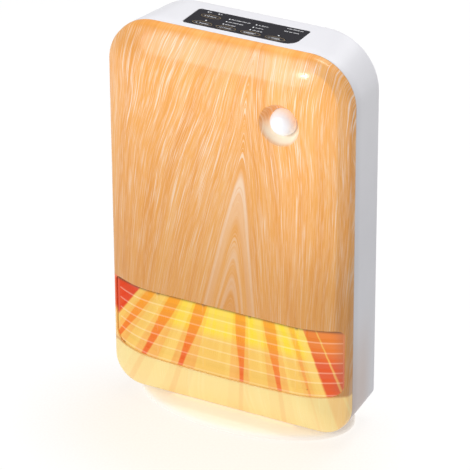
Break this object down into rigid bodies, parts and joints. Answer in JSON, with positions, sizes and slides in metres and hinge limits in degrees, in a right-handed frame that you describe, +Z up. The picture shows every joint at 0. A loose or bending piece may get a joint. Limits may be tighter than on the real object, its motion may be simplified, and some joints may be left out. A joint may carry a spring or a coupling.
{
  "type": "ceramic space heater",
  "caption": "Slim upright ceramic fan heater: pillow-shaped wood-grain front with a louvred outlet and a motion-sensor dome, tapered white casing, top key panel, oval base.",
  "frame": {"origin": "on the floor, under the middle of the oval base plate", "axes": "+Z up, +X to the right as seen from the front, +Y towards the back; the front faces -Y"},
  "size_m": [0.26, 0.126, 0.4081],
  "materials": {
    "wood_grain": "light wood-grain print under a satin coat",
    "white_plastic": "fine satin",
    "black_plate": "gloss",
    "key_black": "semi-gloss",
    "light_guide": "clear, frosted ends",
    "lens_white": "milky, finely ribbed",
    "louvre_plastic": "satin",
    "duct_plastic": "moulded",
    "dark_plastic": "moulded",
    "circuit_board": "solder mask",
    "aluminium": "mill",
    "steel": "zinc plated",
    "brass": "plain",
    "ceramic": "opaque fired ceramic",
    "rubber": "matte",
    "motor_steel": "plain",
    "filter_mesh": "fine mesh",
    "lead_red": "insulation",
    "lead_blue": "insulation",
    "lead_grey": "insulation"
  },
  "bodies": {
    "housing": {"front_panel": "wood_grain", "rear_casing": "white_plastic", "control_plate": "black_plate", "key_board": "circuit_board", "light_guide": "light_guide", "sensor_lens": "lens_white", "sensor_board": "circuit_board", "outlet_louvre": "louvre_plastic", "outlet_surround": "duct_plastic", "duct_front": "duct_plastic", "duct_rear": "duct_plastic", "duct_end_left": "duct_plastic", "duct_end_right": "duct_plastic", "fan_bearing": "brass", "bearing_holder": "rubber", "fan_motor": "motor_steel", "motor_bracket": "steel", "fin_row_1": "aluminium", "fin_row_2": "aluminium", "fin_row_3": "aluminium", "ceramic_bar_1": "ceramic", "ceramic_bar_2": "ceramic", "heater_frame_left": "duct_plastic", "heater_frame_right": "duct_plastic", "heater_terminal_live": "brass", "heater_terminal_neutral": "brass", "thermal_cutout": "steel", "thermal_fuse": "ceramic", "power_board": "circuit_board", "relay": "dark_plastic", "filter_frame": "white_plastic", "handle_cup": "white_plastic", "cord_gland": "dark_plastic", "base_plate": "white_plastic", "base_pedestal": "white_plastic", "rubber_foot_1": "rubber", "rubber_foot_2": "rubber", "rubber_foot_3": "rubber", "rubber_foot_4": "rubber", "base_screw_1": "steel", "base_screw_2": "steel", "casing_screw_1": "steel", "casing_screw_2": "steel", "casing_screw_3": "steel", "casing_screw_4": "steel", "tip_switch": "dark_plastic", "tip_spring": "steel", "lead_live": "lead_red", "lead_neutral": "lead_blue", "lead_motor": "lead_grey"},
    "timer_key": {"key_timer": "key_black"},
    "auto_key": {"key_auto": "key_black"},
    "mode_key": {"key_mode": "key_black"},
    "sensor_key": {"key_sensor": "key_black"},
    "power_key": {"key_power": "key_black"},
    "fan": {"fan_rotor": "dark_plastic", "fan_shaft": "steel"},
    "plunger": {"tip_plunger": "white_plastic"},
    "cover": {"intake_cover": "white_plastic", "dust_filter": "filter_mesh"}
  },
  "joints": [
    {"name": "timer_press", "type": "slide", "parent": "housing", "child": "timer_key", "axis": [0, 0, -1], "range_m": [0, 0.0006], "stiffness_N_per_m": 1500, "springref_m": -0.0003},
    {"name": "auto_press", "type": "slide", "parent": "housing", "child": "auto_key", "axis": [0, 0, -1], "range_m": [0, 0.0006], "stiffness_N_per_m": 1500, "springref_m": -0.0003},
    {"name": "mode_press", "type": "slide", "parent": "housing", "child": "mode_key", "axis": [0, 0, -1], "range_m": [0, 0.0006], "stiffness_N_per_m": 1500, "springref_m": -0.0003},
    {"name": "sensor_press", "type": "slide", "parent": "housing", "child": "sensor_key", "axis": [0, 0, -1], "range_m": [0, 0.0006], "stiffness_N_per_m": 1500, "springref_m": -0.0003},
    {"name": "power_press", "type": "slide", "parent": "housing", "child": "power_key", "axis": [0, 0, -1], "range_m": [0, 0.0006], "stiffness_N_per_m": 1500, "springref_m": -0.0003},
    {"name": "fan_spin", "type": "hinge", "parent": "housing", "child": "fan", "pos_m": [0, 0, 0.168], "axis": [1, 0, 0], "continuous": true},
    {"name": "tip_over_slide", "type": "slide", "parent": "housing", "child": "plunger", "axis": [0, 0, -1], "range_m": [0, 0.004], "stiffness_N_per_m": 200, "springref_m": 0.006, "deforming": ["tip_spring"]},
    {"name": "cover_hinge", "type": "hinge", "parent": "housing", "child": "cover", "pos_m": [0, 0.0344, 0.192], "axis": [-1, 0, 0], "range_deg": [0, 40]}
  ]
}
